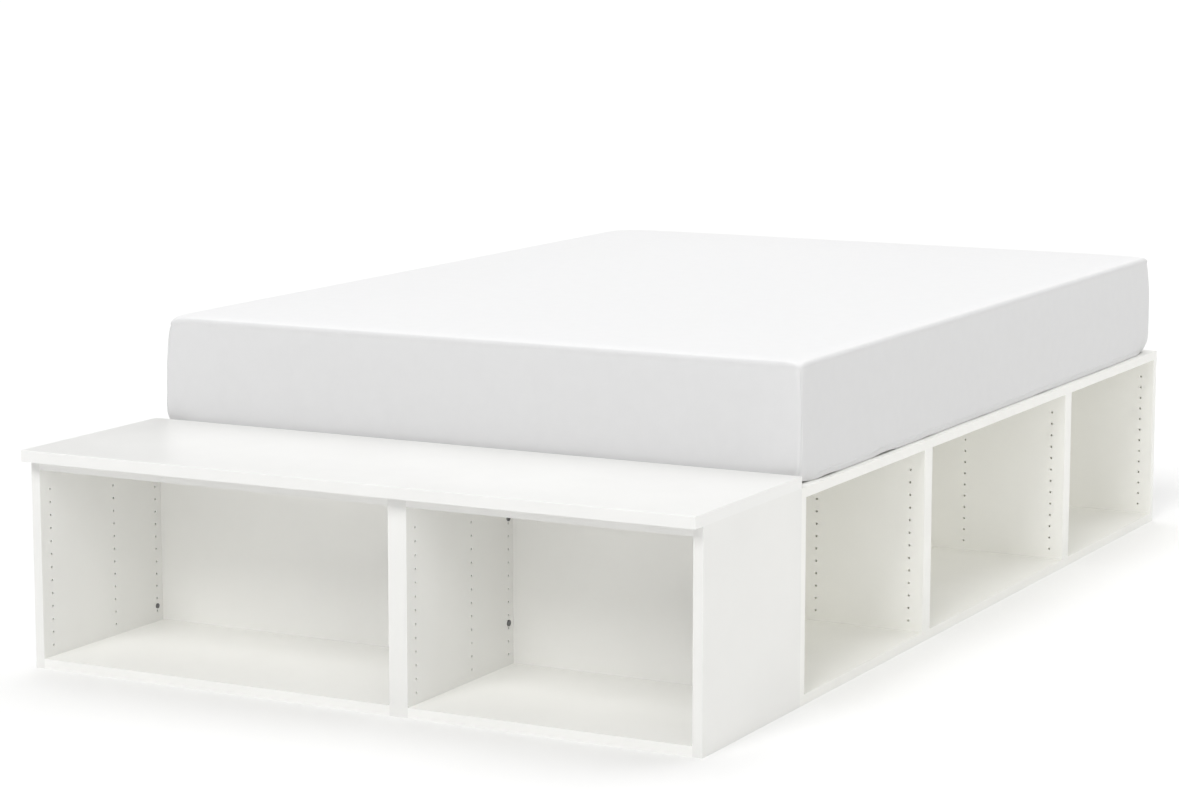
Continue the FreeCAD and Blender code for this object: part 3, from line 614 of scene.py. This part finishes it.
def swing_foot(points, rings):
    """Swings the sheet's foot end out towards the bench, less so at its corners."""
    for ring in rings[1:]:
        spot = points[ring]
        low = np.clip((pad_low.z + FOOT_SWING_TOP - spot[:, 2]) / FOOT_SWING_TOP, 0, 1)
        foot = eased(1 - (spot[:, 1] - PAD_CENTRE.y + PAD_HALF_Y) / FOOT_SWING_RUN)
        inside = eased((PAD_HALF_X - np.abs(spot[:, 0] - PAD_CENTRE.x)) / FOOT_SWING_FADE)
        left = FOOT_SWING_LEFT_SHARE + (1 - FOOT_SWING_LEFT_SHARE) * inside
        points[ring, 1] -= FOOT_SWING * low ** FOOT_SWING_POWER * foot * left


def shape_corners(points):
    """Draws the sheet in at the lower end of its corners, and lets its upper corners droop."""
    offset = points - np.array(PAD_CENTRE)
    gap = np.hypot(PAD_HALF_X - np.abs(offset[:, 0]), PAD_HALF_Y - np.abs(offset[:, 1]))
    low = np.clip((LEDGE + CORNER_DRAW_TOP - points[:, 2]) / CORNER_DRAW_TOP, 0, 1)
    draw = CORNER_DRAW * eased(1 - gap / CORNER_DRAW_RUN) * low ** 2
    points[:, :2] -= np.sign(offset[:, :2]) * draw[:, None]
    high = eased((points[:, 2] - pad_low.z - PAD_HEIGHT + CORNER_DROOP_DEPTH) / CORNER_DROOP_DEPTH)
    droop = np.where(offset[:, 0] < 0, CORNER_DROOP_LEFT, CORNER_DROOP_RIGHT)
    points[:, 2] -= droop * eased(1 - gap / CORNER_DROOP_RUN) * high


def shape_sheet(cover, rings):
    """Gives the sheet its hang, its hem and its corners, before it settles."""
    points = points_of(cover)
    fall_back(points, rings)
    hang_hem(points, rings)
    swing_foot(points, rings)
    shape_corners(points)
    set_points(cover, points)


def settle(cover, core, rings):
    """Lets the cloth settle on the mattress under its weight, slack in its middle and tight at its hem."""
    scene = bpy.context.scene
    start = points_of(cover)
    hem = cover.vertex_groups.new(name="hem")
    hem.add([int(point) for point in rings[-2:].ravel()], 1.0, "REPLACE")
    collision = core.modifiers.new("collision", "COLLISION")
    core.collision.thickness_outer = CLOTH_GAP
    core.collision.cloth_friction = CLOTH_GRIP
    cloth = cover.modifiers.new("cloth", "CLOTH")
    cloth.settings.quality = CLOTH_QUALITY
    cloth.settings.mass = CLOTH_MASS
    cloth.settings.tension_stiffness = cloth.settings.compression_stiffness = CLOTH_STRETCH
    cloth.settings.shear_stiffness = CLOTH_SHEAR
    cloth.settings.bending_stiffness = CLOTH_BEND
    cloth.settings.vertex_group_shrink = hem.name
    cloth.settings.shrink_min = -CLOTH_SLACK_SHARE
    cloth.settings.shrink_max = HEM_GATHER_SHARE
    cloth.collision_settings.distance_min = CLOTH_GAP
    cloth.collision_settings.use_self_collision = False
    cloth.point_cache.frame_end = SETTLE_FRAMES
    for step in range(1, SETTLE_FRAMES + 1):
        scene.frame_set(step)
    settled = np.empty(start.size)
    cover.evaluated_get(bpy.context.evaluated_depsgraph_get()).data.vertices.foreach_get("co", settled)
    moved = settled.reshape(-1, 3) - start
    reach = np.linalg.norm(moved, axis=1)
    moved *= (SETTLE_CAP * np.tanh(reach / SETTLE_CAP) / np.maximum(reach, SETTLE_LEAST))[:, None]
    cover.modifiers.remove(cloth)
    core.modifiers.remove(collision)
    scene.frame_set(1)
    placed = start + moved
    placed[:, 2] = np.maximum(placed[:, 2], LEDGE + HEM_LOWEST)
    set_points(cover, placed)


def outward_of(path):
    """The way along a closed path of points, and the level way out of the bed from it, at each point."""
    along = np.roll(path, -1, 0) - np.roll(path, 1, 0)
    along /= np.linalg.norm(along, axis=1)[:, None]
    out = np.column_stack([along[:, 1], -along[:, 0], np.zeros(len(path))])
    return along, out / np.linalg.norm(out, axis=1)[:, None]


def tube_faces(rings):
    """Faces round a row of rings of points, with both ends closed."""
    faces = [[low[k], low[k - 1], high[k - 1], high[k]] for low, high in zip(rings, rings[1:])
             for k in range(len(low))]
    return faces + [rings[0], rings[-1][::-1]]


def stitches(path, along, out, across):
    """Short raised stitches, evenly spaced along a path."""
    run = np.concatenate([[0], np.cumsum(np.linalg.norm(np.diff(path, axis=0), axis=1))])
    points, faces = [], []
    for middle in np.arange(STITCH_PITCH / 2, run[-1], STITCH_PITCH):
        centre, way, up, side = (np.array([np.interp(middle, run, row[:, axis]) for axis in range(3)])
                                 for row in (path, along, out, across))
        rings = []
        for end, width in STITCH_RINGS:
            spot = centre + way * end * STITCH_LENGTH
            ring = [spot + turned * STITCH_HALF * width for turned in (-side, up, side, -up)]
            rings.append(list(range(len(points), len(points) + len(ring))))
            points += ring
        faces += tube_faces(rings)
    return points, faces


def make_casing(cover, rings):
    """The folded casing along the sheet's hem, with its row of stitches."""
    path = points_of(cover)[rings[-1]]
    along, out = outward_of(path)
    up = np.tile((0.0, 0.0, 1.0), (len(path), 1))
    rows = [path + out * off + up * rise for off, rise in CASING_SECTION]
    sides, count = len(rows), len(path)
    points = [rows[side][k] for k in range(count) for side in range(sides)]
    faces = [[k * sides + side, (k + 1) % count * sides + side, (k + 1) % count * sides + (side + 1) % sides,
              k * sides + (side + 1) % sides] for k in range(count) for side in range(sides)]
    casing = new_object("sheet_hem", points, faces)
    line = path + out * CASING_STITCH_OUT + up * CASING_STITCH_HEIGHT
    line, along, out, up = (np.vstack([row, row[:1]]) for row in (line, along, out, up))
    return casing, new_object("hem_stitches", *stitches(line, along, out, up))


def make_seams(cover, rings):
    """A rounded seam down each corner of the sheet, with its row of stitches."""
    found = points_of(cover)
    points, faces, stitch_points, stitch_faces = [], [], [], []
    for column in (0, count_x, count_x + count_y, 2 * count_x + count_y):
        path = found[rings[EDGE_ROWS:, column]]
        out = np.sign(path - np.array(PAD_CENTRE)) * (1, 1, 0) / math.sqrt(2)
        across = np.column_stack([-out[:, 1], out[:, 0], out[:, 2]])
        first, count = len(points), len(path)
        size = eased(np.arange(count) / SEAM_SWELL_ROWS + SEAM_START_SHARE)
        for k in range(count):
            for side in range(SEAM_SIDES):
                turn = 2 * math.pi * side / SEAM_SIDES
                points.append(path[k] + size[k] * (out[k] * SEAM_PROUD * math.cos(turn)
                                                   + across[k] * SEAM_HALF_WIDTH * math.sin(turn)))
        faces += tube_faces([[first + SEAM_SIDES * k + side for side in range(SEAM_SIDES)] for k in range(count)])
        line = (path + out * SEAM_PROUD)[SEAM_STITCH_ROW:]
        down = np.gradient(line, axis=0)
        down /= np.linalg.norm(down, axis=1)[:, None]
        more, some = stitches(line, down, out[SEAM_STITCH_ROW:], across[SEAM_STITCH_ROW:])
        stitch_faces += [[corner + len(stitch_points) for corner in face] for face in some]
        stitch_points += more
    return new_object("sheet_seams", points, faces), new_object("seam_stitches", stitch_points, stitch_faces)


def make_bedding():
    """The mattress and the sheet drawn over it."""
    core_rows = side_profile(PAD_UPPER_EDGE, PAD_BULGE, dip=0.0, tuck=1.0)
    core, _ = pad_net("mattress_pad", -CORE_SINK, PAD_CORNER, PAD_SPREAD_SHARE, core_rows, closed=True)
    core.data.materials.append(finishes["ticking"])
    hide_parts("mattress")
    rows = side_profile(SHEET_UPPER_EDGE, SHEET_BULGE, EDGE_DIP, SHEET_TUCK)
    cover, rings = pad_net("fitted_sheet_cloth", CLOTH_LIFT, SHEET_CORNER, SHEET_SPREAD_SHARE, rows, closed=False)
    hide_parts("fitted_sheet")
    shape_sheet(cover, rings)
    settle(cover, core, rings)
    trims = [*make_casing(cover, rings), *make_seams(cover, rings)]
    for piece in (cover, *trims):
        piece.data.materials.append(finishes["cotton"])
    for piece in (cover, trims[0]):
        smooth = piece.modifiers.new("smooth", "SUBSURF")
        smooth.levels = smooth.render_levels = 1
    for piece in (core, cover, *trims):
        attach(piece, "mattress")


make_bedding()


# Floor, light and camera

FLOOR_HALF = 60.0
FLOOR_WHITE = (0.90, 0.90, 0.90)
SKY_WHITE = (1.0, 1.0, 1.0)
SKY_STRENGTH = 0.15

# How often light passes on between white boards, so that the bays aren't too dark
LIGHT_BOUNCES = 12

# Broad lamps: the way each comes from, round from the foot end and up, how broad it is, its strength and colour
PLAIN_LIGHT = (1.0, 1.0, 1.0)
WARM_LIGHT = (1.0, 0.997, 0.970)
LAMPS = {
    "top_light": (180, 60, 60, 1.38, PLAIN_LIGHT),
    "left_light": (-100, 60, 50, 0.62, PLAIN_LIGHT),
    "foot_light": (0, 44, 30, 1.60, PLAIN_LIGHT),
    "corner_light": (40, 30, 40, 0.63, WARM_LIGHT),
    "right_light": (90, 12, 40, 0.65, WARM_LIGHT),
}


def make_floor():
    """A wide level floor at the bed's feet."""
    corners = [(-FLOOR_HALF, -FLOOR_HALF, 0), (FLOOR_HALF, -FLOOR_HALF, 0), (FLOOR_HALF, FLOOR_HALF, 0),
               (-FLOOR_HALF, FLOOR_HALF, 0)]
    floor = new_object("floor", corners, [[0, 1, 2, 3]])
    floor.data.materials.append(limed("floor_white", FLOOR_WHITE))


def make_light():
    """An even pale surround, and broad lamps high at the head end, on both sides, at the foot and off its corner."""
    world = bpy.data.worlds.new("surround")
    world.use_nodes = True
    sky = world.node_tree.nodes["Background"]
    sky.inputs["Color"].default_value = (*SKY_WHITE, 1)
    sky.inputs["Strength"].default_value = SKY_STRENGTH
    bpy.context.scene.world = world
    for name, (round_turn, rise, breadth, strength, colour) in LAMPS.items():
        lamp = bpy.data.lights.new(name, "SUN")
        lamp.angle = math.radians(breadth)
        lamp.energy = strength
        lamp.color = colour
        light = bpy.data.objects.new(name, lamp)
        light.rotation_euler = (math.radians(90 - rise), 0, math.radians(round_turn))
        bpy.context.scene.collection.objects.link(light)


def make_camera():
    """The camera, level from side to side and looking down at the bed's foot corner."""
    lens = bpy.data.cameras.new("camera")
    lens.sensor_width = SENSOR_WIDTH_MILLIMETRES
    lens.lens = FOCAL_PIXELS / PICTURE_WIDTH_PIXELS * SENSOR_WIDTH_MILLIMETRES
    camera = bpy.data.objects.new("camera", lens)
    camera.location = CAMERA_PLACE
    camera.rotation_euler = (math.pi / 2 - CAMERA_TILT, 0, CAMERA_TURN)
    bpy.context.scene.collection.objects.link(camera)
    bpy.context.scene.camera = camera


make_floor()
make_light()
make_camera()
bpy.context.scene.view_settings.view_transform = "Standard"
bpy.context.scene.cycles.diffuse_bounces = LIGHT_BOUNCES
